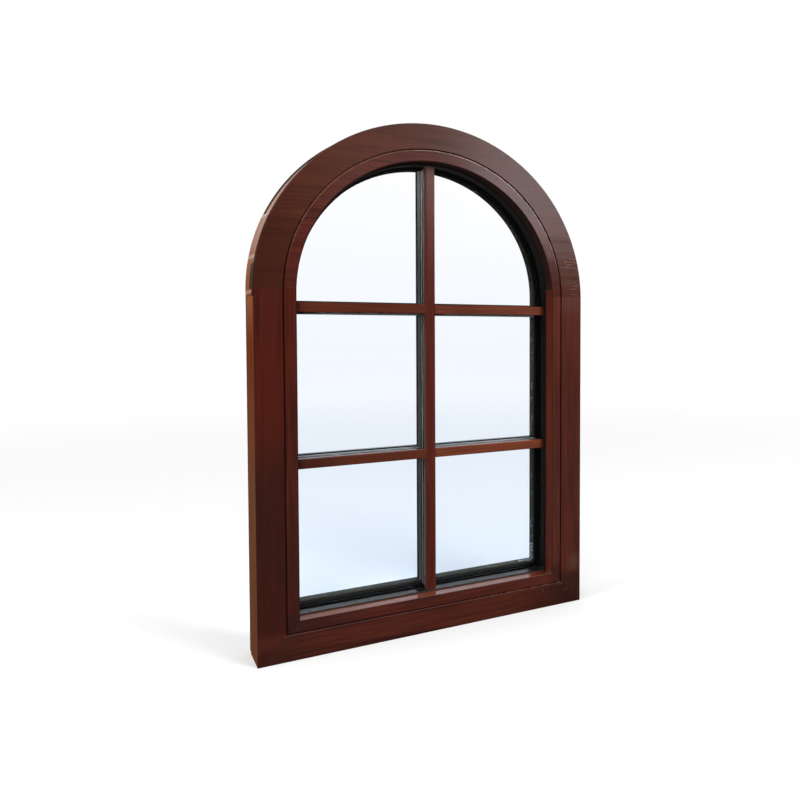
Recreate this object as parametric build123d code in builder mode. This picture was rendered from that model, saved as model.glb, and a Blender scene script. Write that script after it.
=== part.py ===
"""Arched fixed window: wood frame inside, aluminium cladding outside, triple glazing with bars.

Millimetres. X runs along the width, +Y towards the outside, Z up from the underside of the frame.
Every moulding is drawn as a section in two directions, offset and depth: offset runs inwards from
the frame's outline, and depth runs from the room side of the frame towards the outside.
"""
from build123d import *
from math import atan, cos, degrees, radians, sin, tan
import os

# Outline of the wood frame
frame_width = 1000.0
springing_height = 1000.0
frame_depth = 110.0

# Where the arch is jointed, in degrees above the springing line on each side
haunch_joint_angle = 1.2
crown_joint_angle = 62.0

# Section of the wood frame and of the glazing bead
face_width = 73.0
groove_width = 3.5
groove_depth = 7.0
bead_width = 32.0
bead_depth = 40.0
rebate_lip = 18.5
frame_edge_bevel = 1.5
bead_groove_bevel = 1.5
bead_sight_round = 2.5

# Black glazing seal between the bead and the glass, its face splayed towards the glass
seal_reveal = 3.5
seal_splay = 3.0
seal_bevel = 1.5

# Triple glazed unit, bedded on a gasket against the cladding
glass_thickness = 5.0
cavity_width = 12.0
gasket_thickness = 4.0
gasket_width = 12.0
glass_edge_clearance = 5.0
spacer_edge_cover = 3.0
spacer_reveal = 4.0

# Wood bars on the room side, and the clear height of the lights below each row of them
bar_width = 28.0
bar_depth = 22.0
bar_bevel = 2.0
bar_rows = ["lower", "upper"]
light_height = 406.0

# Flat bars inside the two cavities
cavity_bar_width = 26.0
cavity_bar_clearance = 1.5

# Aluminium cladding, set a little above the wood all round
cladding_depth = 15.0
cladding_lift = 6.0
cladding_wall = 2.5
cladding_face_width = 125.5
cladding_splay = 4.5
cladding_web_offset = 84.0
outside_bar_width = 38.0
outside_bar_depth = 19.0
outside_bar_bevel = 3.0
outside_bar_wall = 1.5

# Weep slots in the face of the bottom cladding
weep_slot_length = 30.0
weep_slot_height = 5.0
weep_slot_spacing = 600.0
weep_slot_rise = 18.0

# Places that follow from the sizes above
arch_radius = frame_width / 2
bead_start = face_width + groove_width
bead_sight = bead_start + bead_width
rebate_offset = bead_start + rebate_lip
seal_front = bead_sight + seal_reveal
seal_sight = seal_front + seal_splay
spacer_sight = seal_sight + spacer_reveal
unit_edge = rebate_offset + glass_edge_clearance
unit_depth = 3 * glass_thickness + 2 * cavity_width
unit_back = frame_depth - gasket_thickness
unit_setback = unit_back - unit_depth
seal_angle = degrees(atan(seal_splay / (unit_setback - bead_depth)))
total_depth = frame_depth + cladding_depth
front_y = -total_depth / 2
splay_foot = cladding_face_width - cladding_splay
splay_angle = degrees(atan(cladding_splay / cladding_depth))
gasket_sight = splay_foot - gasket_thickness * tan(radians(splay_angle))
bar_levels = [
    bead_sight + (row + 1) * light_height + (row + 0.5) * bar_width for row in range(len(bar_rows))
]
os.makedirs("parts", exist_ok=True)


def save(piece, name):
    """Name a finished piece and write it to its own file."""
    piece.part.label = name
    export_step(piece.part, f"parts/{name}.step")


# Drawing planes

def section_plane(angle, lift=0.0):
    """Where a moulding's section stands on the arch, at an angle from the right springing."""
    a = radians(angle)
    corner = (arch_radius * cos(a), front_y, springing_height + lift + arch_radius * sin(a))
    return Plane(origin=corner, x_dir=(-cos(a), 0, -sin(a)), z_dir=(sin(a), 0, -cos(a)))


def bottom_plane(lift=0.0):
    """Where a moulding's section stands at the right end of the bottom."""
    return Plane(origin=(frame_width / 2, front_y, lift), x_dir=(0, 0, 1), z_dir=(-1, 0, 0))


def mitre_plane(side, lift=0.0):
    """The mitre at a bottom corner, with its normal towards the bottom moulding."""
    return Plane(origin=(side * frame_width / 2, 0, lift), z_dir=(-side, 0, -1))


def upright_plane(depth, lift=0.0):
    """An upright plane at a depth, drawn on with X and Z, its normal towards the room."""
    return Plane(origin=(0, front_y + depth, lift), x_dir=(1, 0, 0), z_dir=(0, -1, 0))


def arch_axis(lift=0.0):
    """The arch's axis, turned so that angles grow from the right side over the top."""
    return Axis((0, front_y, springing_height + lift), (0, -1, 0))


# Mouldings from a section

def bottom_run(section, lift=0.0):
    """A moulding along the bottom, mitred at both ends."""
    with BuildPart() as run:
        with BuildSketch(bottom_plane(lift)):
            add(section.sketch)
        extrude(amount=frame_width)
        split(bisect_by=mitre_plane(1, lift), keep=Keep.TOP)
        split(bisect_by=mitre_plane(-1, lift), keep=Keep.TOP)
    return run


def right_run(section, arc, lift=0.0):
    """A moulding up the right side, mitred below and carried round the start of the arch."""
    with BuildPart() as run:
        with BuildSketch(section_plane(0, lift)):
            add(section.sketch)
        extrude(amount=springing_height)
        split(bisect_by=mitre_plane(1, lift), keep=Keep.BOTTOM)
        if arc > 0:
            with BuildSketch(section_plane(0, lift)):
                add(section.sketch)
            revolve(axis=arch_axis(lift), revolution_arc=arc)
    return run


def left_run(section, arc, lift=0.0):
    """The moulding up the left side, the mirror image of the right one."""
    right = right_run(section, arc, lift)
    with BuildPart() as run:
        mirror(right.part, about=Plane.YZ)
    return run


def arch_run(section, start, end, lift=0.0):
    """A moulding round the arch from one angle to another."""
    with BuildPart() as run:
        with BuildSketch(section_plane(start, lift)):
            add(section.sketch)
        revolve(axis=arch_axis(lift), revolution_arc=end - start)
    return run


def save_wood_ring(section, bottom, left, right, arch):
    """The six lengths of a wood moulding, jointed at both haunches and beside the crown."""
    save(bottom_run(section), bottom)
    save(left_run(section, haunch_joint_angle), left)
    save(right_run(section, haunch_joint_angle), right)
    save(arch_run(section, haunch_joint_angle, crown_joint_angle), f"{arch}_right")
    save(arch_run(section, crown_joint_angle, 180 - crown_joint_angle), f"{arch}_crown")
    save(arch_run(section, 180 - crown_joint_angle, 180 - haunch_joint_angle), f"{arch}_left")


# Wood frame: flat face, shadow groove, seat for the bead and rebate for the glass
with BuildSketch() as frame_section:
    with BuildLine():
        Polyline(
            (0, 0),
            (face_width, 0),
            (face_width, groove_depth),
            (bead_start, groove_depth),
            (bead_start, bead_depth),
            (rebate_offset, bead_depth),
            (rebate_offset, frame_depth),
            (0, frame_depth),
            close=True,
        )
    make_face()
    chamfer(frame_section.vertices().group_by(Axis.Y)[0], length=frame_edge_bevel)
save_wood_ring(frame_section, "bottom_rail", "left_jamb", "right_jamb", "arch")

# Glazing bead: square moulding, bevelled at the groove and rounded over at the sight line
with BuildSketch() as bead_section:
    with BuildLine():
        Polyline(
            (bead_start, 0),
            (bead_sight, 0),
            (bead_sight, bead_depth),
            (bead_start, bead_depth),
            close=True,
        )
    make_face()
    groove_corner, sight_corner = bead_section.vertices().group_by(Axis.Y)[0].sort_by(Axis.X)
    chamfer(groove_corner, length=bead_groove_bevel)
    fillet(sight_corner, radius=bead_sight_round)
save_wood_ring(bead_section, "bottom_bead", "left_bead", "right_bead", "arch_bead")

# Glazing seal: black strip behind the bead that the inner pane is bedded on
with BuildSketch() as seal_section:
    with BuildLine():
        Polyline(
            (rebate_offset, bead_depth),
            (seal_front, bead_depth),
            (seal_sight, unit_setback),
            (rebate_offset, unit_setback),
            close=True,
        )
    make_face()
    chamfer(seal_section.vertices().group_by(Axis.Y)[0].sort_by(Axis.X)[-1], length=seal_bevel)
save(bottom_run(seal_section), "bottom_seal")
save(left_run(seal_section, 0), "left_seal")
save(right_run(seal_section, 0), "right_seal")
save(arch_run(seal_section, 0, 180), "arch_seal")


# Arched outlines for the panes, the spacers and the bars

def arched_outline(inset):
    """The frame's outline moved inwards, as a sketch of its own."""
    half = arch_radius - inset
    with BuildSketch() as outline:
        with BuildLine():
            Line((-half, inset), (half, inset))
            Line((half, inset), (half, springing_height))
            CenterArc((0, springing_height), half, 0, 180)
            Line((-half, springing_height), (-half, inset))
        make_face()
    return outline


def pane(depth):
    """One sheet of glass with its room face at a depth."""
    outline = arched_outline(unit_edge)
    with BuildPart() as sheet:
        with BuildSketch(upright_plane(depth + glass_thickness)):
            add(outline.sketch)
        extrude(amount=glass_thickness)
    return sheet


def spacer(depth):
    """The spacer and edge seal that hold two panes apart."""
    outside = arched_outline(unit_edge + spacer_edge_cover)
    sight = arched_outline(spacer_sight)
    with BuildPart() as frame:
        with BuildSketch(upright_plane(depth + cavity_width)):
            add(outside.sketch)
            add(sight.sketch, mode=Mode.SUBTRACT)
        extrude(amount=cavity_width)
    return frame


def cavity_grid(depth):
    """The crossed flat bars inside a cavity, cut to the spacer's sight line."""
    sight = arched_outline(spacer_sight)
    with BuildPart() as grid:
        with BuildSketch(upright_plane(depth + cavity_width - cavity_bar_clearance)):
            with Locations((0, springing_height)):
                Rectangle(cavity_bar_width, 2 * frame_width)
            with Locations(*[(0, level) for level in bar_levels]):
                Rectangle(frame_width, cavity_bar_width)
            add(sight.sketch, mode=Mode.INTERSECT)
        extrude(amount=cavity_width - 2 * cavity_bar_clearance)
    return grid


pane_step = glass_thickness + cavity_width
for number, name in enumerate(["inner_pane", "middle_pane", "outer_pane"]):
    save(pane(unit_setback + number * pane_step), name)
for number, name in enumerate(["inner", "outer"]):
    cavity_start = unit_setback + glass_thickness + number * pane_step
    save(spacer(cavity_start), f"{name}_spacer")
    save(cavity_grid(cavity_start), f"{name}_cavity_grid")


# Bars glued to the glass, their ends cut to the opening that they stand in

def room_opening():
    """The opening inside the glazing seal, which widens towards the room."""
    outline = arched_outline(seal_sight)
    with BuildPart() as opening:
        with BuildSketch(upright_plane(unit_setback)):
            add(outline.sketch)
        extrude(amount=unit_setback - bead_depth, taper=-seal_angle)
    return opening


def outside_opening():
    """The opening inside the cladding, which narrows towards the outside."""
    outline = arched_outline(gasket_sight)
    with BuildPart() as opening:
        with BuildSketch(upright_plane(unit_back, cladding_lift)):
            add(outline.sketch)
        extrude(amount=unit_back - total_depth, taper=splay_angle)
    return opening


def wood_bar(middle, size, along, opening):
    """A wood bar on the room face of the glass, its two front edges bevelled."""
    with BuildPart() as bar:
        with BuildSketch(upright_plane(unit_setback)):
            with Locations(middle):
                Rectangle(*size)
        extrude(amount=bar_depth)
        chamfer(bar.faces().sort_by(Axis.Y)[0].edges().filter_by(along), length=bar_bevel)
        add(opening.part, mode=Mode.INTERSECT)
    return bar


def outside_bar(middle, size, along, opening):
    """A hollow aluminium bar on the outer face of the glass."""
    with BuildPart() as bar:
        with BuildSketch(upright_plane(unit_back)):
            with Locations(middle):
                Rectangle(*size)
        extrude(amount=-outside_bar_depth)
        chamfer(bar.faces().sort_by(Axis.Y)[-1].edges().filter_by(along), length=outside_bar_bevel)
        ends = bar.faces().sort_by(along)
        offset(amount=-outside_bar_wall, openings=[ends[0], ends[-1]])
        add(opening.part, mode=Mode.INTERSECT)
    return bar


def save_bars(make_bar, width, opening, prefix):
    """The bar that runs the whole height, and the short ones on each side of it."""
    full_height = springing_height + arch_radius
    half_width = (frame_width - width) / 2
    bar = make_bar((0, full_height / 2), (width, full_height), Axis.Z, opening)
    save(bar, f"{prefix}upright_bar")
    for row, level in zip(bar_rows, bar_levels):
        for side, hand in ((-1, "left"), (1, "right")):
            middle = (side * (width + half_width) / 2, level)
            bar = make_bar(middle, (half_width, width), Axis.X, opening)
            save(bar, f"{prefix}{row}_{hand}_bar")


save_bars(wood_bar, bar_width, room_opening(), "")
save_bars(outside_bar, outside_bar_width, outside_opening(), "outside_")

# Aluminium cladding: an open extrusion with a flat face, three webs and a splayed inner edge
with BuildSketch() as cladding_section:
    with BuildLine():
        Polyline(
            (0, frame_depth),
            (cladding_wall, frame_depth),
            (cladding_wall, total_depth - cladding_wall),
            (cladding_web_offset, total_depth - cladding_wall),
            (cladding_web_offset, frame_depth),
            (cladding_web_offset + cladding_wall, frame_depth),
            (cladding_web_offset + cladding_wall, total_depth - cladding_wall),
            (cladding_face_width - 2 * cladding_wall, total_depth - cladding_wall),
            (splay_foot - cladding_wall, frame_depth),
            (splay_foot, frame_depth),
            (cladding_face_width, total_depth),
            (0, total_depth),
            close=True,
        )
    make_face()
with BuildPart() as bottom_cladding:
    add(bottom_run(cladding_section, cladding_lift).part)
    with BuildSketch(upright_plane(total_depth, cladding_lift)):
        with Locations((0, weep_slot_rise)):
            with GridLocations(weep_slot_spacing, 0, 2, 1):
                SlotOverall(weep_slot_length, weep_slot_height)
    extrude(amount=cladding_wall, mode=Mode.SUBTRACT)
save(bottom_cladding, "bottom_cladding")
save(left_run(cladding_section, 0, cladding_lift), "left_cladding")
save(right_run(cladding_section, 0, cladding_lift), "right_cladding")
save(arch_run(cladding_section, 0, 180, cladding_lift), "arch_cladding")

# Outside gasket: thin black strip between the outer pane and the cladding
gasket_outer = arched_outline(gasket_sight - gasket_width)
gasket_inner = arched_outline(gasket_sight)
with BuildPart() as outside_gasket:
    with BuildSketch(upright_plane(frame_depth, cladding_lift)):
        add(gasket_outer.sketch)
        add(gasket_inner.sketch, mode=Mode.SUBTRACT)
    extrude(amount=gasket_thickness)
save(outside_gasket, "outside_gasket")
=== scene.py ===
# %% [markdown]
# # Arched window with a stained wood frame
#
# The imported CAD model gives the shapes: wood frame, glazing bead, three panes, spacers, bars and
# the aluminium cladding outside. This file gives them their finishes and adds what is too fine for
# CAD. Everything is in metres, +Z is up, and the room is on the -Y side.

# %% Load the frame
from math import cos, pi, radians, sin

import bmesh
import bpy
from mathutils import Matrix, Vector


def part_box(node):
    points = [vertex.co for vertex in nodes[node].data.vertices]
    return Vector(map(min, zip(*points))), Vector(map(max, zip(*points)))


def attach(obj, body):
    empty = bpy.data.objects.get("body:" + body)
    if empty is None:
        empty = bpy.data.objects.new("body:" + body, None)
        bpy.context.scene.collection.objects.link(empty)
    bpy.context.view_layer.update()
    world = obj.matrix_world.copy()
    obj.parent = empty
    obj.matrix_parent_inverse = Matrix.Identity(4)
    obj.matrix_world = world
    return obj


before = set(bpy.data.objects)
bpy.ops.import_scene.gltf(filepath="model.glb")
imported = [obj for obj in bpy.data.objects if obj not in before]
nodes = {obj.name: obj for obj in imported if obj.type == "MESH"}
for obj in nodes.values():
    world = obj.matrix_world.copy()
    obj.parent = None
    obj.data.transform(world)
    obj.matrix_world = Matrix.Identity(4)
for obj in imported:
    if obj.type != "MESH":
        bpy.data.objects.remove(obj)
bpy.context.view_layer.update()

# %% Sizes that the pieces share, read from the CAD boxes
frame_low, frame_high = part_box("bottom_rail")
half_width = frame_high[0]
front_y = frame_low[1]
back_y = frame_high[1]
outside_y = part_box("bottom_cladding")[1][1]
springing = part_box("arch_seal")[0][2]
glass_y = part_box("inner_pane")[0][1]
seal_half = -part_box("left_seal")[1][0]
bar_levels = [
    sum(box[2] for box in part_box(f"outside_{row}_left_bar")) / 2 for row in ("lower", "upper")
]
print("half width", half_width, "springing", springing, "front", front_y, "glass", glass_y, "seal at", seal_half)

# %% [markdown]
# ## Helpers for node trees
#
# A finish is a small graph of nodes. One helper adds a node, sets its options and plugs in its
# inputs, so that a finish reads from top to bottom like a recipe.

# %% Colour as it is read off a picture, made linear for the shader
def colour(red, green, blue):
    def linear(c):
        c /= 255
        return c / 12.92 if c <= 0.04045 else ((c + 0.055) / 1.055) ** 2.4
    return (linear(red), linear(green), linear(blue), 1.0)


# %% One node, its options and its inputs
def add_node(tree, kind, inputs=None, **options):
    new = tree.nodes.new(kind)
    for name, value in options.items():
        setattr(new, name, value)
    for key, value in (inputs or {}).items():
        if isinstance(value, bpy.types.NodeSocket):
            tree.links.new(value, new.inputs[key])
        else:
            new.inputs[key].default_value = value
    return new


# %% Short forms of the nodes that every finish uses
def maths(tree, operation, first, second=0.0, clamp=False):
    return add_node(tree, "ShaderNodeMath", {0: first, 1: second}, operation=operation, use_clamp=clamp).outputs[0]


def product(tree, first, *others):
    for factor in others:
        first = maths(tree, "MULTIPLY", first, factor)
    return first


def axes(tree, vector):
    return add_node(tree, "ShaderNodeSeparateXYZ", {0: vector}).outputs


def true_normal(tree):
    return axes(tree, add_node(tree, "ShaderNodeNewGeometry").outputs["True Normal"])


def length_of(tree, vector):
    return add_node(tree, "ShaderNodeVectorMath", {0: vector}, operation="LENGTH").outputs["Value"]


def blend_colour(tree, factor, first, second, way="MIX"):
    mix = add_node(tree, "ShaderNodeMix", {0: factor, 6: first, 7: second}, data_type="RGBA", blend_type=way)
    return mix.outputs[2]


def ramp(tree, value, low, high, to_low=0.0, to_high=1.0, smooth=True):
    kind = "SMOOTHSTEP" if smooth else "LINEAR"
    inputs = {0: value, 1: low, 2: high, 3: to_low, 4: to_high}
    return add_node(tree, "ShaderNodeMapRange", inputs, interpolation_type=kind).outputs[0]


def between(tree, value, low, high, soft):
    return product(tree, ramp(tree, value, low, low + soft), ramp(tree, value, high, high - soft))


def noise(tree, place, scale, detail=3.0, roughness=0.5, stretch=(1, 1, 1), shift=(0, 0, 0), warp=0.0):
    mapping = add_node(tree, "ShaderNodeMapping", {"Vector": place, "Scale": stretch, "Location": shift})
    inputs = {
        "Vector": mapping.outputs[0], "Scale": scale, "Detail": detail, "Roughness": roughness, "Distortion": warp,
    }
    return add_node(tree, "ShaderNodeTexNoise", inputs).outputs[0]


def new_finish(name):
    finish = bpy.data.materials.new(name)
    finish.use_nodes = True
    tree = finish.node_tree
    shader = tree.nodes["Principled BSDF"]
    place = add_node(tree, "ShaderNodeTexCoord").outputs["Object"]
    return finish, tree, shader, place


def bump(tree, height, strength, distance):
    inputs = {"Height": height, "Strength": strength, "Distance": distance}
    return add_node(tree, "ShaderNodeBump", inputs).outputs[0]


# %% [markdown]
# ## Stained and varnished wood
#
# The wood is straight-grained and stained a dark red brown under a satin varnish. Fibres are a
# noise that is drawn out along the grain: fine streaks a few millimetres apart, wider bands of
# slow and quick growth, and short dark pores. The grain runs up the jambs, along the bottom and
# along the bars. The arch is cut from a panel of boards laid flat, so there the grain stays
# level all the way round. The varnish is a coat over the stain, with its own softer bump.

# %% Wood finish
def edge_distance(tree, spot):
    above = maths(tree, "MAXIMUM", maths(tree, "SUBTRACT", spot["Z"], springing), 0.0)
    flat = add_node(tree, "ShaderNodeCombineXYZ", {0: spot["X"], 2: above})
    reach = length_of(tree, flat.outputs[0])
    return maths(tree, "MINIMUM", maths(tree, "SUBTRACT", half_width, reach), spot["Z"])


# painted shade for the walls of the narrow groove
GROOVE_SHADE = colour(28, 11, 9)
# the outer edge ends, and the groove's walls begin and end, at these distances from the outline
EDGE_NEAR, EDGE_FAR = 0.010, 0.012
WALL_NEAR, WALL_FAR = 0.096, 0.098


def stained_wood(
    name, along, light, dark, side, seed, figure=0.35, ripple=0.18, dark_bands=(),
    side_coat=0.8, contrast=0.19, coat_roughness=0.22,
):
    finish, tree, shader, place = new_finish(name)

    def along_grain(stretch):
        return [stretch if letter == along else 1.0 for letter in "xyz"]

    shift = (seed * 0.37, seed * 0.71, seed * 0.53)
    fibres = noise(tree, place, 150, 4.0, 0.6, along_grain(0.035), shift)
    bands = noise(tree, place, 34, 3.0, 0.55, along_grain(0.05), shift, 0.4)
    clouds = noise(tree, place, 5, 2.0, 0.5, along_grain(0.35), shift)
    pores = noise(tree, place, 420, 2.0, 0.5, along_grain(0.02), shift)
    fibre_share, cloud_share = 0.6, 0.3
    tone = maths(tree, "ADD", product(tree, fibres, fibre_share), product(tree, bands, figure))
    tone = maths(tree, "ADD", tone, product(tree, clouds, cloud_share))
    middle = (fibre_share + figure + cloud_share) / 2
    tone = ramp(tree, tone, middle - contrast, middle + contrast)
    face = blend_colour(tree, tone, dark, light)
    face = blend_colour(tree, ramp(tree, pores, 0.60, 0.72, 0.0, 0.35), face, (0.01, 0.004, 0.003, 1))
    spot = axes(tree, place)
    for low, high, depth, soft in dark_bands:
        inside = between(tree, spot["Z"], low, high, soft)
        face = blend_colour(tree, product(tree, inside, depth), face, dark)
    # the edges have a thinner coat than the face, and a tone of their own
    normal = true_normal(tree)
    facing = maths(tree, "ABSOLUTE", normal["Y"])
    shown = ramp(tree, facing, 0.3, 0.5)
    streaks = noise(tree, place, 14, 3.0, 0.6, along_grain(0.25), shift)
    darker_side = (side[0] * 0.78, side[1] * 0.74, side[2] * 0.7, 1)
    edge = blend_colour(tree, ramp(tree, streaks, 0.38, 0.62), darker_side, side)
    # the outer edge is greyer for the first finger's width behind the face, and the groove's walls are painted
    # dark as shade
    near_face = ramp(tree, spot["Y"], front_y + 0.034, front_y + 0.012, 0.0, 0.6)
    inward = edge_distance(tree, spot)
    outer = ramp(tree, inward, EDGE_FAR, EDGE_NEAR)
    greyer = product(tree, outer, ramp(tree, spot["Z"], 0.85, 0.45, 0.0, 0.75))
    edge = blend_colour(tree, greyer, edge, colour(112, 69, 43))
    # painted light: the outer edge pales towards the springing, where light from above falls on it
    upper = product(tree, ramp(tree, spot["Z"], 0.85, 1.0, 0.0, 0.75), ramp(tree, spot["Z"], 1.032, 1.031))
    edge = blend_colour(tree, product(tree, outer, upper), edge, colour(156, 94, 60))
    near_face = product(tree, near_face, ramp(tree, spot["Z"], 0.03, 0.20, 0.3, 1.0), outer)
    edge = blend_colour(tree, near_face, edge, colour(94, 66, 50))
    # on the arch the stain of the face comes round the corner
    above = ramp(tree, spot["Z"], springing, springing + 0.02)
    corner = product(tree, outer, above, ramp(tree, spot["Y"], front_y + 0.036, front_y + 0.016))
    edge = blend_colour(tree, corner, edge, colour(48, 24, 16))
    # at the right, the groove's wall carries a painted highlight where it faces up, broken in places
    highlight_breaks = ramp(tree, noise(tree, place, 70, 2.0, 0.5), 0.46, 0.56)
    groove_highlight = product(tree, highlight_breaks, ramp(tree, normal["Z"], 0.3, 0.6), ramp(tree, spot["X"], 0.05, 0.25))
    wall = blend_colour(tree, groove_highlight, GROOVE_SHADE, colour(136, 84, 58))
    grooved = product(tree, ramp(tree, inward, EDGE_NEAR, EDGE_FAR), ramp(tree, inward, WALL_FAR, WALL_NEAR))
    edge = blend_colour(tree, grooved, edge, wall)
    base = blend_colour(tree, shown, edge, face)
    tree.links.new(base, shader.inputs["Base Color"])
    tree.links.new(ramp(tree, fibres, 0.3, 0.7, 0.5, 0.62, False), shader.inputs["Roughness"])
    tree.links.new(bump(tree, maths(tree, "ADD", fibres, pores), 0.25, 0.0004), shader.inputs["Normal"])
    shader.inputs["Specular IOR Level"].default_value = 0.02
    bare = maths(tree, "SUBTRACT", 1.0, product(tree, corner, maths(tree, "SUBTRACT", 1.0, shown)))
    tree.links.new(product(tree, ramp(tree, shown, 0, 1, side_coat, 1.0), bare), shader.inputs["Coat Weight"])
    shader.inputs["Coat Roughness"].default_value = coat_roughness
    coat_height = maths(tree, "ADD", bands, product(tree, clouds, 0.6))
    tree.links.new(bump(tree, coat_height, ripple, 0.0016), shader.inputs["Coat Normal"])
    return finish, tree, shader, base


# %% The wood of the frame
FACE_LIGHT = colour(88, 39, 28)
FACE_DARK = colour(58, 24, 18)
SIDE = colour(121, 54, 23)
SMUDGE_X, SMUDGE_Z = 0.474, 0.136


def stain_and_light_patches(tree, shader, base, *patches, face_only=True):
    """Lay patches of another tone over the stain, some of them painted light or shade: each is a factor and a
    colour.
    """
    if face_only:
        on_face = ramp(tree, maths(tree, "ABSOLUTE", true_normal(tree)["Y"]), 0.3, 0.5)
        patches = [(product(tree, factor, on_face), towards) for factor, towards in patches]
    for factor, towards in patches:
        base = blend_colour(tree, factor, base, towards)
    tree.links.new(base, shader.inputs["Base Color"])


def across_and_up(tree):
    spot = axes(tree, tree.nodes["Texture Coordinate"].outputs["Object"])
    return spot["X"], spot["Z"]


frame_upright, tree, shader, base = stained_wood(
    "frame_wood_upright", "z", FACE_LIGHT, FACE_DARK, SIDE, 1, side_coat=0.1, contrast=0.26
)
x, z = across_and_up(tree)
across = product(tree, maths(tree, "SUBTRACT", x, SMUDGE_X), 1.5)
beside_smudge = add_node(tree, "ShaderNodeCombineXYZ", {0: across, 2: maths(tree, "SUBTRACT", z, SMUDGE_Z)})
from_smudge = length_of(tree, beside_smudge.outputs[0])
# the foot is darker and a smudge lies near it; near the top a painted sheen greys the face
stain_and_light_patches(tree, shader, base,
      (ramp(tree, z, 0.116, 0.086, 0.0, 0.72), colour(40, 20, 15)),
      (ramp(tree, from_smudge, 0.042, 0.006, 0.0, 0.6), colour(84, 58, 46)),
      (ramp(tree, z, 0.92, 1.0, 0.0, 0.16), colour(104, 68, 62)))
# the dark band on the left jamb is painted shade, darkening it towards the foot as the light falls off to the
# bottom left
frame_left, tree, shader, base = stained_wood(
    "frame_wood_left", "z", colour(80, 29, 18), colour(44, 15, 9), SIDE, 8, 0.2,
    dark_bands=[(-0.6, 0.95, 0.6, 0.5)], side_coat=0.1, contrast=0.24,
)
x, z = across_and_up(tree)
stain_and_light_patches(tree, shader, base,
      (product(tree, ramp(tree, z, 0.092, 0.070, 0.0, 0.6), ramp(tree, z, 0.026, 0.056)), colour(76, 33, 24)),
      (product(tree, ramp(tree, z, 0.48, 0.66), ramp(tree, z, 0.96, 0.80, 0.0, 0.28)), colour(94, 27, 13)))
frame_level, tree, shader, base = stained_wood(
    "frame_wood_level", "x", colour(79, 34, 23), colour(46, 17, 12), SIDE, 2, side_coat=0.1, contrast=0.16
)
x, z = across_and_up(tree)
# the right end is darker; the darker left end is painted shade, as the light falls off to the bottom left
stain_and_light_patches(tree, shader, base,
      (ramp(tree, x, 0.22, 0.42, 0.0, 0.35), colour(40, 17, 12)),
      (ramp(tree, x, 0.36, 0.46, 0.0, 0.6), colour(32, 13, 9)),
      (ramp(tree, x, -0.30, -0.47, 0.0, 0.65), colour(54, 24, 18)))
# the arch's outer edge is given a lighter tone than the jambs' edges: painted light, as it faces up to the light
# from above
frame_arch, tree, shader, base = stained_wood(
    "frame_wood_arch", "x", colour(82, 38, 23), colour(56, 24, 14), colour(152, 94, 55), 3, 0.3, 0.35,
    dark_bands=[(1.181, 1.202, 0.5, 0.004), (1.262, 1.266, 0.3, 0.002), (1.345, 1.348, 0.25, 0.002)],
    side_coat=0.55, contrast=0.24,
)
x, z = across_and_up(tree)
stain_and_light_patches(tree, shader, base,
      (product(tree, ramp(tree, x, -0.30, -0.44), ramp(tree, z, 1.26, 1.12, 0.0, 0.5)), colour(46, 19, 12)))

# %% [markdown]
# The bead is the same wood. Its inner edge is stained red on the straight lengths and nearly black
# round the arch. The little bevel beside the shadow groove carries a painted highlight where it
# faces up: a broken light line round the arch, paler towards the right.

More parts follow.
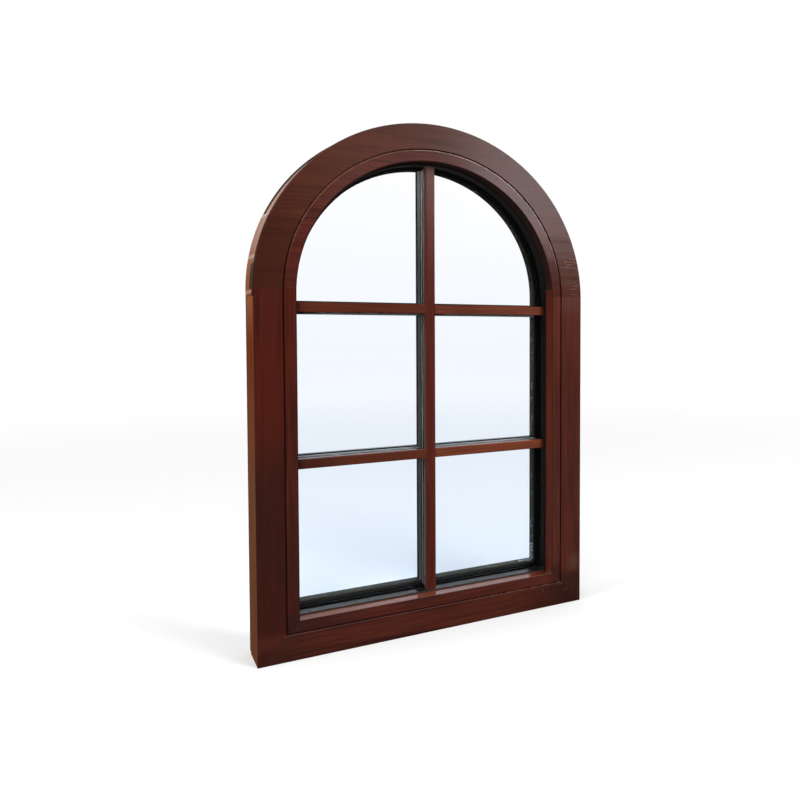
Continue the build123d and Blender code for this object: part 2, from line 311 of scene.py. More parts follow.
# %% The wood of the bead
def bead_wood(name, along, light, dark, seed, dark_bands=()):
    finish, tree, shader, base = stained_wood(
        name, along, light, dark, colour(106, 47, 30), seed, ripple=0.05, dark_bands=dark_bands, coat_roughness=0.16
    )
    place = tree.nodes["Texture Coordinate"].outputs["Object"]
    spot = axes(tree, place)
    normal = true_normal(tree)
    facing = maths(tree, "ABSOLUTE", normal["Y"])
    inward = edge_distance(tree, spot)
    on_edge = ramp(tree, facing, 0.75, 0.5)
    # the ledge on top of the bottom bead has a thin tan coat, and is painted lighter where it faces up, as light
    # from above; it is darker towards its right end
    on_top = product(tree, on_edge, ramp(tree, normal["Z"], 0.5, 0.8))
    tan_and_top_light = blend_colour(tree, ramp(tree, spot["X"], 0.32, 0.37), colour(116, 58, 36), colour(84, 38, 24))
    base = blend_colour(tree, product(tree, on_top, ramp(tree, inward, 0.098, 0.102)), base, tan_and_top_light)
    # round the arch the inner edge is nearly black
    dark_edge = product(tree, on_edge, ramp(tree, spot["Z"], 1.030, 1.033))
    base = blend_colour(tree, dark_edge, base, colour(46, 32, 27))
    # painted shade: a dark line along the arris at the inner edge of the bead's face
    arris_shade = product(tree, ramp(tree, facing, 0.5, 0.75), ramp(tree, inward, 0.1035, 0.1065, 0.0, 0.6))
    base = blend_colour(tree, arris_shade, base, colour(46, 15, 11))
    # painted highlight on the bevel beside the groove, where it faces up, broken in places and paler towards the
    # right
    on_bevel = product(tree, ramp(tree, facing, 0.6, 0.65), ramp(tree, facing, 0.8, 0.75))
    highlight_breaks = ramp(tree, noise(tree, place, 60, 2.0, 0.5), 0.34, 0.50, 0.45, 1.0)
    outer_bevel = product(tree, on_bevel, ramp(tree, inward, 0.094, 0.090))
    lit = product(tree, outer_bevel, highlight_breaks, ramp(tree, normal["Z"], 0.08, 0.3))
    pale = blend_colour(tree, ramp(tree, spot["X"], -0.15, 0.25), colour(124, 88, 68), colour(250, 232, 228))
    base = blend_colour(tree, lit, base, pale)
    # painted shade darkens the foot towards both ends, most of all at the left
    left_end = ramp(tree, spot["X"], -0.16, -0.38, 0.0, 0.75)
    right_end = ramp(tree, spot["X"], 0.36, 0.41, 0.0, 0.5)
    ends = maths(tree, "ADD", left_end, right_end)
    shade = product(tree, ramp(tree, facing, 0.5, 0.75), ends, ramp(tree, spot["Z"], 0.150, 0.106))
    base = blend_colour(tree, shade, base, colour(42, 21, 17))
    tree.links.new(base, shader.inputs["Base Color"])
    dull = product(tree, on_top, ramp(tree, spot["X"], -0.12, -0.34, 0.0, 0.45))
    coat = maths(tree, "SUBTRACT", ramp(tree, dark_edge, 0, 1, 1.0, 0.1), dull, True)
    tree.links.new(coat, shader.inputs["Coat Weight"])
    return finish


bead_right = bead_wood(
    "bead_wood_right", "z", colour(92, 43, 33), colour(62, 25, 19), 4,
    [(0.34, 0.80, 0.45, 0.14), (-0.6, 0.20, 0.55, 0.10), (-0.6, 0.145, 0.4, 0.02)],
)
# the dark band on the lower half of the left bead is painted shade, as the light falls off to the bottom left
bead_left = bead_wood(
    "bead_wood_left", "z", colour(82, 30, 19), colour(50, 19, 13), 14, [(-0.6, 0.50, 0.6, 0.22)]
)
bead_level = bead_wood("bead_wood_level", "x", colour(88, 38, 28), colour(58, 23, 17), 5)

# %% [markdown]
# The bars are the same wood too. The short bars are darkened towards their ends beside the black
# seal, as painted shade.

# %% The wood of the bars
bar_upright, tree, shader, base = stained_wood(
    "bar_wood_upright", "z", colour(91, 35, 22), colour(66, 24, 15), colour(116, 72, 60), 6
)
x, z = across_and_up(tree)
# painted sheen pales the top of the upright bar
stain_and_light_patches(tree, shader, base, (ramp(tree, z, 1.15, 1.45, 0.0, 0.4), colour(124, 92, 84)), face_only=False)
bar_level, tree, shader, base = stained_wood(
    "bar_wood_level", "x", colour(118, 58, 36), colour(78, 34, 22), colour(112, 62, 44), 7, contrast=0.14
)
x, z = across_and_up(tree)
lower = ramp(tree, z, 0.70, 0.60)
# the bars left of the upright are darker, the lower left one most at its left end, and the right sides paler; both
# ends are darkened as painted shade beside the seal
stain_and_light_patches(tree, shader, base,
      (ramp(tree, x, 0.02, -0.02, 0.0, 0.72), colour(74, 32, 18)),
      (ramp(tree, x, 0.05, 0.30, 0.0, 0.22), colour(136, 72, 46)),
      (product(tree, lower, ramp(tree, x, -0.20, -0.33, 0.0, 0.6)), colour(52, 20, 12)),
      (ramp(tree, maths(tree, "ABSOLUTE", x), 0.368, 0.386, 0.0, 0.85), colour(26, 12, 9)), face_only=False)

# %% [markdown]
# ## Aluminium, rubber, spacers and glass
#
# The cladding is powder coated: a dark grey with the faint orange peel of baked powder. The
# spacers and the seals are black. The flat bars in the cavities are grey, with painted shade that
# makes their edges black. The panes are clear with a pale blue tint that deepens towards the foot:
# a painted gradient of the light behind them.

# %% Powder coat of the cladding
powder_coat, tree, shader, place = new_finish("dark_grey_powder_coat")
speckle = noise(tree, place, 900, 2.0, 0.5)
drift = noise(tree, place, 7, 2.0, 0.5)
spot = axes(tree, place)
coat = blend_colour(tree, drift, colour(55, 53, 45), colour(68, 66, 57))
# the reveal round the arch is darkened with painted shade
reveal = ramp(tree, edge_distance(tree, spot), 0.112, 0.116)
shaded = product(tree, reveal, ramp(tree, spot["Z"], 0.98, 1.10, 0.0, 0.75))
tree.links.new(blend_colour(tree, shaded, coat, colour(24, 23, 20)), shader.inputs["Base Color"])
tree.links.new(ramp(tree, speckle, 0.3, 0.7, 0.46, 0.58, False), shader.inputs["Roughness"])
tree.links.new(bump(tree, speckle, 0.25, 0.0003), shader.inputs["Normal"])
shader.inputs["Specular IOR Level"].default_value = 0.15

# %% Black rubber of the seals
black_rubber, tree, shader, place = new_finish("black_rubber")
skin = noise(tree, place, 420, 2.0, 0.5)
tree.links.new(blend_colour(tree, skin, colour(16, 16, 16), colour(24, 24, 24)), shader.inputs["Base Color"])
tree.links.new(ramp(tree, skin, 0.3, 0.7, 0.12, 0.16, False), shader.inputs["Roughness"])
tree.links.new(bump(tree, skin, 0.02, 0.0001), shader.inputs["Normal"])
shader.inputs["Specular Tint"].default_value = (1.0, 0.91, 0.81, 1.0)

# %% Black spacers
black_spacer, tree, shader, place = new_finish("black_spacer")
skin = noise(tree, place, 500, 2.0, 0.5)
tree.links.new(blend_colour(tree, skin, colour(7, 7, 8), colour(14, 14, 15)), shader.inputs["Base Color"])
tree.links.new(ramp(tree, skin, 0.3, 0.7, 0.5, 0.65, False), shader.inputs["Roughness"])
tree.links.new(bump(tree, skin, 0.15, 0.0002), shader.inputs["Normal"])
shader.inputs["Specular IOR Level"].default_value = 0.06

# %% Grey bars behind the glass, with painted light that pales them towards the crown and painted shade that blackens their edges
def grey_bar(name, low, high, edge):
    finish, tree, shader, place = new_finish(name)
    brushing = noise(tree, place, 300, 2.0, 0.5)
    spot = axes(tree, place)
    normal = true_normal(tree)
    on_face = ramp(tree, maths(tree, "ABSOLUTE", normal["Y"]), 0.4, 0.6)
    # painted light pales the faces towards the crown, and painted shade gives the edges their dark colour
    grey = blend_colour(tree, ramp(tree, spot["Z"], 1.05, 1.38), low, high)
    grey = blend_colour(tree, ramp(tree, brushing, 0.3, 0.7, 0.0, 0.15), grey, edge)
    grey = blend_colour(tree, on_face, edge, grey)
    tree.links.new(grey, shader.inputs["Base Color"])
    tree.links.new(ramp(tree, brushing, 0.3, 0.7, 0.10, 0.15, False), shader.inputs["Roughness"])
    tree.links.new(bump(tree, brushing, 0.05, 0.0002), shader.inputs["Normal"])
    return finish, tree, shader, grey, spot, normal


cavity_grey = grey_bar("grey_cavity_bar", colour(146, 146, 140), colour(206, 207, 204), colour(9, 9, 10))[0]
outside_grey = grey_bar("grey_outside_bar", colour(142, 142, 134), colour(196, 198, 196), colour(34, 34, 31))[0]

# %% [markdown]
# A pale line is painted on the level bars outside, as painted light: it stands in for the bright
# backdrop that their edges catch through the glass, near the top of the lower bars and along the
# foot of the upper ones.

# %% Level bars outside, with a painted light line
LEVEL_GREY = colour(60, 60, 56)
outside_level, tree, shader, grey, spot, normal = grey_bar(
    "grey_outside_level_bar", LEVEL_GREY, LEVEL_GREY, colour(46, 46, 42)
)
painted_light_line = None
for middle, low, high in ((bar_levels[0], 0.0085, 0.0145), (bar_levels[1], -0.0205, -0.0085)):
    strip = between(tree, spot["Z"], middle + low, middle + high, 0.001)
    painted_light_line = strip if painted_light_line is None else maths(tree, "ADD", painted_light_line, strip)
painted_light_line = product(tree, painted_light_line, ramp(tree, normal["Y"], -0.4, -0.6))
tree.links.new(blend_colour(tree, painted_light_line, grey, colour(236, 237, 234)), shader.inputs["Base Color"])

# %% Clear glass that lamps shine through
clear_glass, tree, shader, place = new_finish("clear_glass")
height = axes(tree, place)["Z"]
# painted light: the tint deepens to pale blue towards the foot, standing in for the gradient of the light behind
# the window
painted_backdrop_gradient = ramp(tree, height, 0.1, 1.4, 0.0, 1.0, False)
haze = noise(tree, place, 3, 2.0, 0.5)
tint = blend_colour(tree, painted_backdrop_gradient, (0.918, 0.955, 1.0, 1), (1.0, 1.0, 1.0, 1))
tree.links.new(tint, shader.inputs["Base Color"])
tree.links.new(ramp(tree, haze, 0.3, 0.7, 0.0, 0.012, False), shader.inputs["Roughness"])
shader.inputs["Transmission Weight"].default_value = 1.0
shader.inputs["IOR"].default_value = 1.05
let_through = add_node(tree, "ShaderNodeBsdfTransparent", {"Color": (0.98, 0.985, 0.99, 1)})
lamp_ray = add_node(tree, "ShaderNodeLightPath").outputs["Is Shadow Ray"]
both = add_node(tree, "ShaderNodeMixShader", {0: lamp_ray, 1: shader.outputs[0], 2: let_through.outputs[0]})
tree.links.new(both.outputs[0], tree.nodes["Material Output"].inputs["Surface"])

# %% Put each finish on its CAD nodes
def finish_for(node):
    level = "bottom" in node or "arch" in node
    if "pane" in node:
        return clear_glass
    if "cavity_grid" in node:
        return cavity_grey
    if "spacer" in node:
        return black_spacer
    if "seal" in node:
        return black_rubber
    if node.startswith("outside_") and "bar" in node:
        return outside_grey if "upright" in node else outside_level
    if "cladding" in node or node.startswith("outside_"):
        return powder_coat
    if "bead" in node:
        return bead_level if level else bead_left if "left" in node else bead_right
    if "bar" in node:
        return bar_upright if "upright" in node else bar_level
    if "arch" in node:
        return frame_arch
    if "left" in node:
        return frame_left
    return frame_level if level else frame_upright


for name, piece in nodes.items():
    piece.data.materials.clear()
    piece.data.materials.append(finish_for(name))
print("finishes on", len(nodes), "nodes")

# %% [markdown]
# ## What is too fine for CAD
#
# The window carries small marks, which are read here as traces of the work: protective film on the
# edge of the arch at the left, creases in the varnish at the right, crumbs of sealant on the
# outside rim, and a few pale flecks beside the shadow groove. Small
# things that repeat or follow a path are grown by Geometry Nodes trees with named inputs. Each
# tree's result is kept as a plain mesh.

# %% Helpers for Geometry Nodes
def new_tree(name, sizes):
    tree = bpy.data.node_groups.new(name, "GeometryNodeTree")
    keys = {}
    for label, kind in sizes.items():
        keys[label] = tree.interface.new_socket(label, in_out="INPUT", socket_type=kind).identifier
    tree.interface.new_socket("Geometry", in_out="OUTPUT", socket_type="NodeSocketGeometry")
    return tree, tree.nodes.new("NodeGroupInput").outputs, keys


def close_tree(tree, shape, finish):
    whole = add_node(tree, "GeometryNodeRealizeInstances", {"Geometry": shape})
    dressed = add_node(tree, "GeometryNodeSetMaterial", {"Geometry": whole.outputs[0], "Material": finish})
    add_node(tree, "NodeGroupOutput", {0: dressed.outputs[0]})


def grow(name, tree, keys, values, start=None):
    piece = bpy.data.objects.new(name, start or bpy.data.meshes.new(name))
    bpy.context.scene.collection.objects.link(piece)
    modifier = piece.modifiers.new(name, "NODES")
    modifier.node_group = tree
    for label, value in values.items():
        modifier[keys[label]] = value
    bpy.context.view_layer.update()
    result = piece.evaluated_get(bpy.context.evaluated_depsgraph_get())
    mesh = bpy.data.meshes.new_from_object(result)
    piece.modifiers.clear()
    piece.data = mesh
    keep(piece)


def keep(piece):
    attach(piece, "root")
    print(piece.name, len(piece.data.polygons), "faces")


def path_mesh(name, points, faces=(), edges=()):
    mesh = bpy.data.meshes.new(name)
    if not faces and not edges:
        edges = [(i, (i + 1) % len(points)) for i in range(len(points))]
    mesh.from_pydata(points, edges, faces)
    return mesh


# %% [markdown]
# ### Glazing lip
#
# Where the black seal meets the inner pane, a soft lip of rubber presses on the glass. It is one
# round section that runs all the way round the arched light, so it is swept along that line.

# %% Glazing lip along the arched sight line
def arched_line(half, y, steps=96):
    foot = half_width - half
    corners = [(half, y, foot), (half, y, springing)]
    arc = [(half * cos(pi * i / steps), y, springing + half * sin(pi * i / steps)) for i in range(1, steps)]
    return corners + arc + [(-half, y, springing), (-half, y, foot)]


LIP_RADIUS = 0.0012
LIP_REVEAL = 0.0004
tree, given, keys = new_tree("swept_lip", {
    "Path": "NodeSocketGeometry", "Thickness": "NodeSocketFloat", "Finish": "NodeSocketMaterial",
})
line = add_node(tree, "GeometryNodeMeshToCurve", {"Mesh": given["Path"]})
section = add_node(tree, "GeometryNodeCurvePrimitiveCircle", {"Radius": given["Thickness"], "Resolution": 10})
swept = add_node(tree, "GeometryNodeCurveToMesh", {"Curve": line.outputs[0], "Profile Curve": section.outputs[0]})
smooth = add_node(tree, "GeometryNodeSetShadeSmooth", {"Geometry": swept.outputs[0]})
close_tree(tree, smooth.outputs[0], given["Finish"])
lip_line = path_mesh("glazing_lip", arched_line(seal_half - LIP_REVEAL, glass_y - LIP_RADIUS))
grow("glazing_lip", tree, keys, {"Thickness": LIP_RADIUS, "Finish": black_rubber}, lip_line)

# %% [markdown]
# ### Film on the edge of the arch
#
# A length of protective film is stretched over the outer edge of the frame at the left, from the
# springing line up and over the cladding. It is a thin sheet that follows the edge. It is drawn
# opaque, in the tones that show through it, with painted sheen that pales it upwards and painted
# glints on its wrinkles: its two ends and one overlap are pale, and there is a dark slot where it
# doesn't touch the wood.

# %% Finish of the film
film_finish, tree, shader, place = new_finish("protective_film")
spot = axes(tree, place)
above = maths(tree, "SUBTRACT", spot["Z"], springing)
rise = maths(tree, "ARCTAN2", above, product(tree, spot["X"], -1.0))
wrinkle = noise(tree, place, 60, 3.0, 0.6, (1, 0.4, 1.0), (0.2, 0.1, 0.3), 0.5)
rise = maths(tree, "ADD", rise, product(tree, maths(tree, "SUBTRACT", wrinkle, 0.5), 0.012))
deep = maths(tree, "SUBTRACT", spot["Y"], front_y)
# painted sheen pales the film upwards, and painted glints light its wrinkles
tone = blend_colour(tree, ramp(tree, rise, 0.02, 0.26), colour(146, 84, 46), colour(146, 94, 66))
tone = blend_colour(tree, ramp(tree, wrinkle, 0.45, 0.65, 0.0, 0.3), tone, colour(170, 124, 92))
slot_high = product(tree, ramp(tree, rise, 0.012, 0.02), ramp(tree, rise, 0.160, 0.15))
slot_deep = product(tree, ramp(tree, deep, 0.026, 0.032), ramp(tree, deep, 0.062, 0.054))
slot_rim = product(tree, slot_high, ramp(tree, deep, 0.034, 0.028, 0.0, 0.85))
tone = blend_colour(tree, slot_rim, tone, colour(118, 98, 92))
tone = blend_colour(tree, product(tree, slot_high, slot_deep), tone, colour(50, 38, 34))
PALE_BANDS = ((-0.006, 0.010, 0.75), (0.182, 0.202, 0.9), (0.425, 0.445, 0.8))
BAND_SOFT = 0.008
for low, high, depth in PALE_BANDS:
    band = between(tree, rise, low - BAND_SOFT / 2, high + BAND_SOFT / 2, BAND_SOFT)
    tone = blend_colour(tree, product(tree, band, depth), tone, colour(182, 152, 136))
corner = ramp(tree, deep, 0.034, 0.018)
tone = blend_colour(tree, corner, tone, colour(48, 24, 16))
tree.links.new(tone, shader.inputs["Base Color"])
gloss = maths(tree, "ADD", ramp(tree, wrinkle, 0.3, 0.7, 0.32, 0.45, False), product(tree, corner, 0.4))
tree.links.new(gloss, shader.inputs["Roughness"])
tree.links.new(bump(tree, wrinkle, 0.3, 0.0006), shader.inputs["Normal"])
shader.inputs["Specular IOR Level"].default_value = 0.18

# %% Sheet of film on the left edge: angles in degrees, and it climbs over the cladding at the back
FILM_START, FILM_SWEEP, FILM_STEPS = -1.2, 26.7, 40
FILM_MARGIN, FILM_WIDTH, FILM_ROWS = 0.0015, 0.1225, 24
FILM_GAP, FILM_THICKNESS = 0.0004, 0.0003
CLIMB_HEIGHT, CLIMB_START, CLIMB_LENGTH = 0.006, 0.100, 0.010


def film_point(along, across):
    turn = radians(along)
    climbed = min(1.0, max(0.0, (across - CLIMB_START) / CLIMB_LENGTH))
    radius = half_width + FILM_GAP + CLIMB_HEIGHT * max(0.0, sin(turn)) * climbed
    if along < 0:
        return (-radius, front_y + across, springing + half_width * turn)
    return (-radius * cos(turn), front_y + across, springing + radius * sin(turn))


lengths = [FILM_START + FILM_SWEEP * i / FILM_STEPS for i in range(FILM_STEPS + 1)]
widths = [FILM_MARGIN + FILM_WIDTH * i / FILM_ROWS for i in range(FILM_ROWS + 1)]
points = [film_point(along, across) for along in lengths for across in widths]
stride = len(widths)
starts = [i * stride + j for i in range(FILM_STEPS) for j in range(FILM_ROWS)]
faces = [(at, at + stride, at + stride + 1, at + 1) for at in starts]
film = bpy.data.objects.new("edge_film", path_mesh("edge_film", points, faces))
bpy.context.scene.collection.objects.link(film)
wall = film.modifiers.new("wall", "SOLIDIFY")
wall.thickness = FILM_THICKNESS
wall.offset = -1
bpy.context.view_layer.update()
thick = bpy.data.meshes.new_from_object(film.evaluated_get(bpy.context.evaluated_depsgraph_get()))
film.modifiers.clear()
film.data = thick
film.data.shade_smooth()
film.data.materials.append(film_finish)
keep(film)

# %% [markdown]
# ### Creases on the face of the arch
#
# At the right the varnish has fine creases, almost level and a little wavy, as film leaves when it
# is pulled off. Each is a short stroke that is swept to a flat ridge and tapers towards both ends.

# %% Finish of the creases
crease_finish, tree, shader, place = new_finish("pale_crease")
# the pale tone of the creases is a painted highlight, the sheen that their ridges catch; the dust flecks share
# this finish
patch = ramp(tree, noise(tree, place, 70, 2.0, 0.5), 0.42, 0.66)
tree.links.new(blend_colour(tree, patch, colour(96, 60, 52), colour(150, 122, 116)), shader.inputs["Base Color"])
tree.links.new(ramp(tree, patch, 0.0, 1.0, 0.3, 0.45, False), shader.inputs["Roughness"])

# %% Tree that turns short strokes into creases
tree, given, keys = new_tree("creases", {
    "Strokes": "NodeSocketGeometry", "Wave": "NodeSocketFloat", "Thickness": "NodeSocketFloat",
    "Finish": "NodeSocketMaterial",
})
drawn = add_node(tree, "GeometryNodeMeshToCurve", {"Mesh": given["Strokes"]})
drawn = add_node(tree, "GeometryNodeResampleCurve", {"Curve": drawn.outputs[0], "Count": 18})
swing = add_node(tree, "ShaderNodeTexNoise", {"Scale": 55.0, "Detail": 2.0})
swing = add_node(tree, "ShaderNodeMath", {0: swing.outputs[0], 1: 0.5}, operation="SUBTRACT")
swing = add_node(tree, "ShaderNodeMath", {0: swing.outputs[0], 1: given["Wave"]}, operation="MULTIPLY")
shift = add_node(tree, "ShaderNodeCombineXYZ", {2: swing.outputs[0]})
waved = add_node(tree, "GeometryNodeSetPosition", {"Geometry": drawn.outputs[0], "Offset": shift.outputs[0]})
along = add_node(tree, "GeometryNodeSplineParameter")
taper = add_node(tree, "ShaderNodeMath", {0: along.outputs["Factor"], 1: pi}, operation="MULTIPLY")
taper = add_node(tree, "ShaderNodeMath", {0: taper.outputs[0]}, operation="SINE")
taper = add_node(tree, "ShaderNodeMath", {0: taper.outputs[0], 1: 0.25}, operation="MAXIMUM")
thinned = add_node(tree, "GeometryNodeSetCurveRadius", {"Curve": waved.outputs[0], "Radius": taper.outputs[0]})
section = add_node(tree, "GeometryNodeCurvePrimitiveCircle", {"Radius": given["Thickness"], "Resolution": 6})
ridge = add_node(tree, "GeometryNodeCurveToMesh", {
    "Curve": thinned.outputs[0], "Profile Curve": section.outputs[0], "Fill Caps": True,
})
pressed = add_node(tree, "GeometryNodeTransform", {
    "Geometry": ridge.outputs[0], "Translation": (0, front_y, 0), "Scale": (1, 0.3, 1),
})
close_tree(tree, pressed.outputs[0], given["Finish"])

# %% Creases at the haunch, on the bead and on the shoulder: each stroke is x, z, x, z in millimetres
CREASE_WAVE = 0.0022
for name, thickness, strokes in (
    ("haunch_creases", 0.00075, [(452, 1123, 484, 1120), (439, 1111, 461, 1114), (430, 1126, 447, 1124)]),
    ("fine_creases", 0.00055, [
        (439, 1105, 455, 1107), (467, 1101, 488, 1095), (465, 1088, 480, 1085), (444, 1149, 469, 1153),
        (434, 1118, 447, 1121), (455, 1132, 474, 1130), (461, 1017, 484, 1019),
        (455, 1034, 478, 1036), (468, 1044, 489, 1045), (450, 1054, 478, 1055),
    ]),
    ("bead_creases", 0.00060, [(390, 1139, 402, 1139), (382, 1137, 391, 1139), (376, 1145, 384, 1143)]),
    ("shoulder_creases", 0.00050, [
        (272, 1337, 291, 1332), (279, 1335, 312, 1341), (298, 1332, 323, 1338),
        (312, 1341, 340, 1338), (281, 1343, 296, 1342),
    ]),
):
    points = [(x / 1000, 0, z / 1000) for x0, z0, x1, z1 in strokes for x, z in ((x0, z0), (x1, z1))]
    pairs = [(i, i + 1) for i in range(0, len(points), 2)]
    drawing = path_mesh(name, points, edges=pairs)
    values = {"Wave": CREASE_WAVE, "Thickness": thickness, "Finish": crease_finish}
    grow(name, tree, keys, values, drawing)

# %% [markdown]
# ### Crumbs of sealant
#
# Grey sealant has dried in crumbs on the splayed rim of the cladding, up the right side and in the
# corner. They are small uneven lumps that are scattered over the rim, in clumps.

# %% Finish of the crumbs
crumb_finish, tree, shader, place = new_finish("dried_sealant")
patch = noise(tree, place, 240, 3.0, 0.6)
grey = blend_colour(tree, ramp(tree, patch, 0.35, 0.6), colour(84, 83, 78), colour(158, 156, 150))
tree.links.new(grey, shader.inputs["Base Color"])
shader.inputs["Roughness"].default_value = 0.8
tree.links.new(bump(tree, patch, 0.5, 0.0005), shader.inputs["Normal"])

# %% Tree that scatters crumbs over a strip
tree, given, keys = new_tree("crumbs", {
    "Strip": "NodeSocketGeometry", "Density": "NodeSocketFloat", "Seed": "NodeSocketInt",
    "Gaps": "NodeSocketFloat", "Smallest": "NodeSocketFloat", "Largest": "NodeSocketFloat",
    "Finish": "NodeSocketMaterial",
})
dots = add_node(tree, "GeometryNodeDistributePointsOnFaces", {
    "Mesh": given["Strip"], "Density": given["Density"], "Seed": given["Seed"],
})
clump = add_node(tree, "ShaderNodeTexNoise", {"Scale": 38.0, "Detail": 2.0})
compared = {0: clump.outputs[0], 1: given["Gaps"]}
kept = add_node(tree, "FunctionNodeCompare", compared, data_type="FLOAT", operation="GREATER_THAN")
lump = add_node(tree, "GeometryNodeMeshIcoSphere", {"Radius": 1.0, "Subdivisions": 1})
spread = {2: given["Smallest"], 3: given["Largest"], "Seed": given["Seed"]}
size = add_node(tree, "FunctionNodeRandomValue", spread, data_type="FLOAT")
any_way = {0: (0, 0, 0), 1: (6.28, 6.28, 6.28), "Seed": given["Seed"]}
turned = add_node(tree, "FunctionNodeRandomValue", any_way, data_type="FLOAT_VECTOR")
laid = add_node(tree, "GeometryNodeInstanceOnPoints", {
    "Points": dots.outputs[0], "Selection": kept.outputs[0], "Instance": lump.outputs[0],
    "Rotation": turned.outputs[0], "Scale": size.outputs[1],
})
close_tree(tree, laid.outputs[0], given["Finish"])

# %% Crumbs up the right rim and in the corner
# the splay leans inwards, from the back of the wood frame almost to the outside of the cladding
SPLAY_BACK, SPLAY_RIM, SPLAY_END = 0.1208, 0.1245, 0.1253
FOOT_BACK, FOOT_RIM = 0.1268, 0.1305
RIM_MARGIN = 0.0028


def rim_corner(along_x, along_z):
    """Two strips that meet in the corner: one up the right side, one along the foot."""
    rim_y = outside_y - RIM_MARGIN
    low, high = along_z
    return [
        (half_width - SPLAY_BACK, back_y, low), (half_width - SPLAY_RIM, rim_y, low),
        (half_width - SPLAY_RIM, rim_y, high), (half_width - SPLAY_BACK, back_y, high),
        (along_x, back_y, FOOT_BACK), (along_x, rim_y, FOOT_RIM),
        (half_width - SPLAY_END, rim_y, FOOT_RIM), (half_width - SPLAY_END, back_y, FOOT_BACK),
    ]


for name, corner, values in (
    ("corner_crumbs", rim_corner(0.326, (0.130, 0.185)), {
        "Density": 160000.0, "Gaps": 0.36, "Smallest": 0.0010, "Largest": 0.0026,
    }),
    ("rim_crumbs", rim_corner(0.3745, (0.185, 0.880)), {
        "Density": 60000.0, "Gaps": 0.56, "Smallest": 0.0006, "Largest": 0.0014,
    }),
):
    strip = path_mesh(name, corner, [(0, 1, 2, 3), (4, 5, 6, 7)])
    values.update({"Seed": 3, "Finish": crumb_finish})
    grow(name, tree, keys, values, strip)

# %% [markdown]
# ### Joints and flecks
#
# Fine dark lines mark the glued joints of the frame: the mitres at the bottom, the joints at the
# springing line and those beside the crown. A few pale flecks of dust lie beside the groove.

# %% Finish of the joints
joint_finish, tree, shader, place = new_finish("dark_joint")
soak = noise(tree, place, 120, 2.0, 0.5)
tree.links.new(blend_colour(tree, soak, colour(34, 14, 10), colour(48, 21, 15)), shader.inputs["Base Color"])
tree.links.new(ramp(tree, soak, 0.3, 0.7, 0.45, 0.6, False), shader.inputs["Roughness"])
shader.inputs["Specular IOR Level"].default_value = 0.05

# %% Joint lines on the face
JOINT_ANGLES = (1.2, 62, 118, 178.8)
FACE_SPAN, BEAD_SPAN = (0.0015, 0.0715), (0.078, 0.106)
MITRE_HALF, JOINT_HALF = 0.0001, 0.00025
LINE_PROUD, LINE_DEPTH = 0.00006, 0.0002


def keep_shape(name, shape, finish):
    mesh = bpy.data.meshes.new(name)
    shape.to_mesh(mesh)
    mesh.materials.append(finish)
    piece = bpy.data.objects.new(name, mesh)
    bpy.context.scene.collection.objects.link(piece)
    keep(piece)


def on_arch(angle, offset):
    turn = radians(angle)
    return ((half_width - offset) * cos(turn), springing + (half_width - offset) * sin(turn))


lines = []
for start, end in (FACE_SPAN, BEAD_SPAN):
    for side in (-1, 1):
        lines.append(((side * (half_width - start), start), (side * (half_width - end), end), MITRE_HALF))
    for angle in JOINT_ANGLES:
        lines.append((on_arch(angle, start), on_arch(angle, end), JOINT_HALF))
joints = bmesh.new()
for (x0, z0), (x1, z1), half in lines:
    along = Vector((x1 - x0, 0, z1 - z0)).normalized()
    aside = Vector((along.z, 0, -along.x)) * half
    ends = [Vector((x0, front_y - LINE_PROUD, z0)), Vector((x1, front_y - LINE_PROUD, z1))]
    ring = [ends[0] - aside, ends[0] + aside, ends[1] + aside, ends[1] - aside]
    front = [joints.verts.new(corner) for corner in ring]
    rear = [joints.verts.new(corner + Vector((0, LINE_DEPTH, 0))) for corner in ring]
    joints.faces.new(front)
    joints.faces.new(rear[::-1])
    for i in range(4):
        joints.faces.new((front[i], rear[i], rear[(i + 1) % 4], front[(i + 1) % 4]))
bmesh.ops.recalc_face_normals(joints, faces=joints.faces)
keep_shape("joint_lines", joints, joint_finish)

# %% Pale flecks beside the groove
FLECK_HEIGHT = 0.0002
flecks = bmesh.new()
for x, z, wide, high in (
    (0.360, 0.0575, 0.0016, 0.0012), (0.440, 0.0460, 0.0036, 0.0008), (0.451, 0.0465, 0.0026, 0.0008),
    (-0.4285, 0.0705, 0.0018, 0.0014), (0.433, 0.0680, 0.0016, 0.0010), (0.424, 0.0690, 0.0012, 0.0008),
):
    grown = bmesh.ops.create_icosphere(flecks, subdivisions=2, radius=1.0)
    bmesh.ops.scale(flecks, verts=grown["verts"], vec=(wide, FLECK_HEIGHT, high))
    bmesh.ops.translate(flecks, verts=grown["verts"], vec=(x, front_y, z))
keep_shape("pale_flecks", flecks, crease_finish)

# %% [markdown]
# ## Studio
#
# A plain pale floor under even light. The varnish needs something to mirror: one wide soft lamp
# behind the camera's right shoulder draws the pale sheen across the right of the arch, and the
# sky of the studio is bright overhead and behind the window and dark in front of it.

# %% Which rays are looking: straight from the camera (through glass too), or off a shiny surface
def ray_kind(tree):
    rays = add_node(tree, "ShaderNodeLightPath")
    after_matt = maths(tree, "MINIMUM", rays.outputs["Diffuse Depth"], 1.0)
    after_shine = maths(tree, "MINIMUM", rays.outputs["Glossy Depth"], 1.0)
    mirrored = product(tree, after_shine, maths(tree, "SUBTRACT", 1.0, after_matt))
    seen = maths(tree, "SUBTRACT", maths(tree, "SUBTRACT", 1.0, after_matt), mirrored, True)
    return seen, mirrored


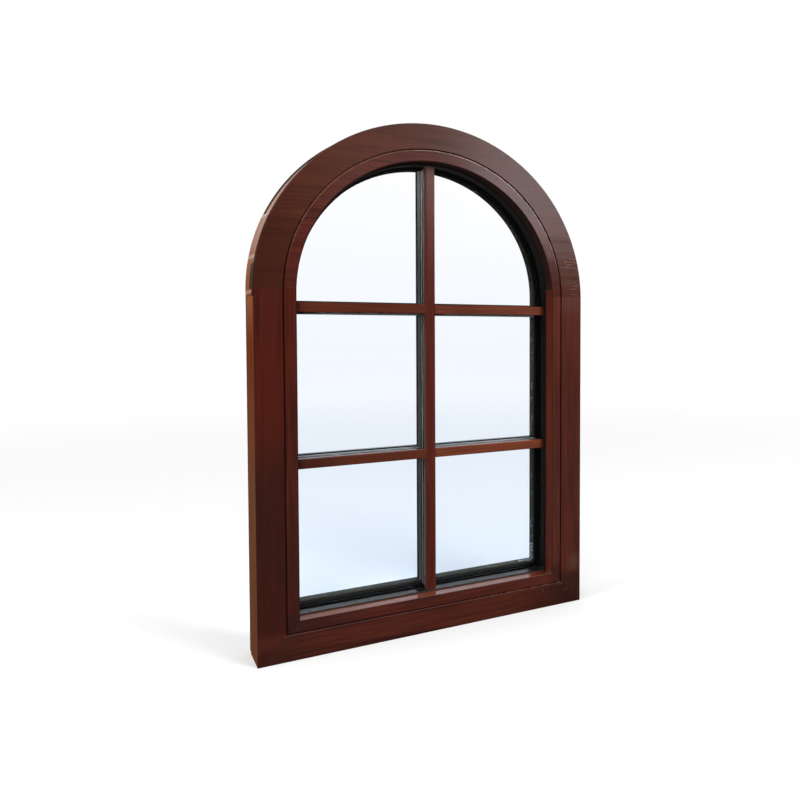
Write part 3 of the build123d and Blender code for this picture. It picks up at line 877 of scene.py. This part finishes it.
# %% Floor
bpy.ops.mesh.primitive_plane_add(size=60, location=(0, 0, 0))
floor = bpy.context.object
floor.name = "floor"
floor_finish, tree, shader, place = new_finish("pale_floor")
seen = ray_kind(tree)[0]
paper_tone = blend_colour(tree, seen, (0.07, 0.07, 0.07, 1), (0.72, 0.72, 0.72, 1))
paper = add_node(tree, "ShaderNodeBsdfDiffuse", {"Color": paper_tone})
away = length_of(tree, place)
near = ramp(tree, away, 1.9, 0.4, 0.0, 0.09)
glow = product(tree, seen, maths(tree, "SUBTRACT", ramp(tree, away, 1.0, 9.0, 0.34, 0.555), near))
lift = add_node(tree, "ShaderNodeEmission", {"Strength": glow})
together = add_node(tree, "ShaderNodeAddShader", {0: paper.outputs[0], 1: lift.outputs[0]})
tree.links.new(together.outputs[0], tree.nodes["Material Output"].inputs["Surface"])
floor.data.materials.append(floor_finish)

# %% Sky of the studio
world = bpy.data.worlds.new("studio")
bpy.context.scene.world = world
world.use_nodes = True
tree = world.node_tree
background = tree.nodes["Background"]
world.cycles.sampling_method = "NONE"
seen, mirrored = ray_kind(tree)
direction = add_node(tree, "ShaderNodeTexCoord").outputs["Generated"]
towards_bright = {0: direction, 1: (0.3, 0.3, 1.0)}
tilt = add_node(tree, "ShaderNodeVectorMath", towards_bright, operation="DOT_PRODUCT").outputs["Value"]
sheen = ramp(tree, tilt, 0.36, 0.45, 0.0, 1.0)
mirror_tone = blend_colour(tree, sheen, (0.01, 0.01, 0.01, 1), (1, 1, 1, 1))
soft = blend_colour(tree, mirrored, (0.62, 0.62, 0.62, 1), mirror_tone)
tree.links.new(blend_colour(tree, seen, soft, (1, 1, 1, 1)), background.inputs["Color"])

# %% Lamps
def soft_lamp(name, place, aim, size, power, mirrored, tint=(1, 1, 1)):
    data = bpy.data.lights.new(name, "AREA")
    data.color = tint
    data.shape = "SQUARE"
    data.size = size
    data.energy = power
    lamp = bpy.data.objects.new(name, data)
    bpy.context.scene.collection.objects.link(lamp)
    lamp.location = place
    lamp.rotation_mode = "QUATERNION"
    lamp.rotation_quaternion = (Vector(aim) - Vector(place)).to_track_quat("-Z", "Y")
    lamp.visible_glossy = mirrored


soft_lamp("key", (1.8, -3.6, 3.4), (0, 0, 0.8), 1.8, 130, False)
soft_lamp("front_fill", (-2.2, -3.2, 1.3), (0, 0, 0.8), 1.5, 50, False)
soft_lamp("side_fill", (-3.2, -0.3, 2.2), (-0.5, 0, 0.9), 1.6, 50, False)
soft_lamp("sheen_card", (2.32, -3.55, 2.20), (0.3, 0, 1.3), 1.3, 16.5, True, (0.93, 0.96, 1.0))
soft_lamp("wide_card", (1.5, -3.7, 2.6), (0.0, 0, 1.3), 2.0, 6, True)

# %% [markdown]
# ## Camera
#
# The photograph is cut from a wider picture, so its middle isn't where the lens pointed. The
# camera was found by fitting the window's straight edges and its arch, and the part of the picture
# that was cut away becomes the lens shift.

# %% Camera
PICTURE = 800
FOCAL = 777.489
MIDDLE = (594.5, 358.048)
YAW, PITCH, ROLL = 0.56449555, 0.03976604, 0.00463793
SENSOR = 36
FROM_FACE = (-0.83389, -2.19133, 0.91116)
camera_data = bpy.data.cameras.new("camera")
camera = bpy.data.objects.new("camera", camera_data)
bpy.context.scene.collection.objects.link(camera)
bpy.context.scene.camera = camera
camera_data.sensor_fit = "HORIZONTAL"
camera_data.sensor_width = SENSOR
camera_data.lens = SENSOR * FOCAL / PICTURE
camera_data.shift_x = (PICTURE / 2 - MIDDLE[0]) / PICTURE
camera_data.shift_y = (MIDDLE[1] - PICTURE / 2) / PICTURE
ahead = Vector((sin(YAW) * cos(PITCH), cos(YAW) * cos(PITCH), -sin(PITCH)))
right = Vector((cos(YAW), -sin(YAW), 0))
up = right.cross(ahead)
right, up = right * cos(ROLL) + up * sin(ROLL), up * cos(ROLL) - right * sin(ROLL)
turn = Matrix((right, up, -ahead)).transposed()
stand = (FROM_FACE[0], front_y + FROM_FACE[1], FROM_FACE[2])
camera.matrix_world = Matrix.Translation(stand) @ turn.to_4x4()
print("lens", round(camera_data.lens, 2), "mm")

# %% Colours go out as they are
bpy.context.scene.view_settings.view_transform = "Standard"
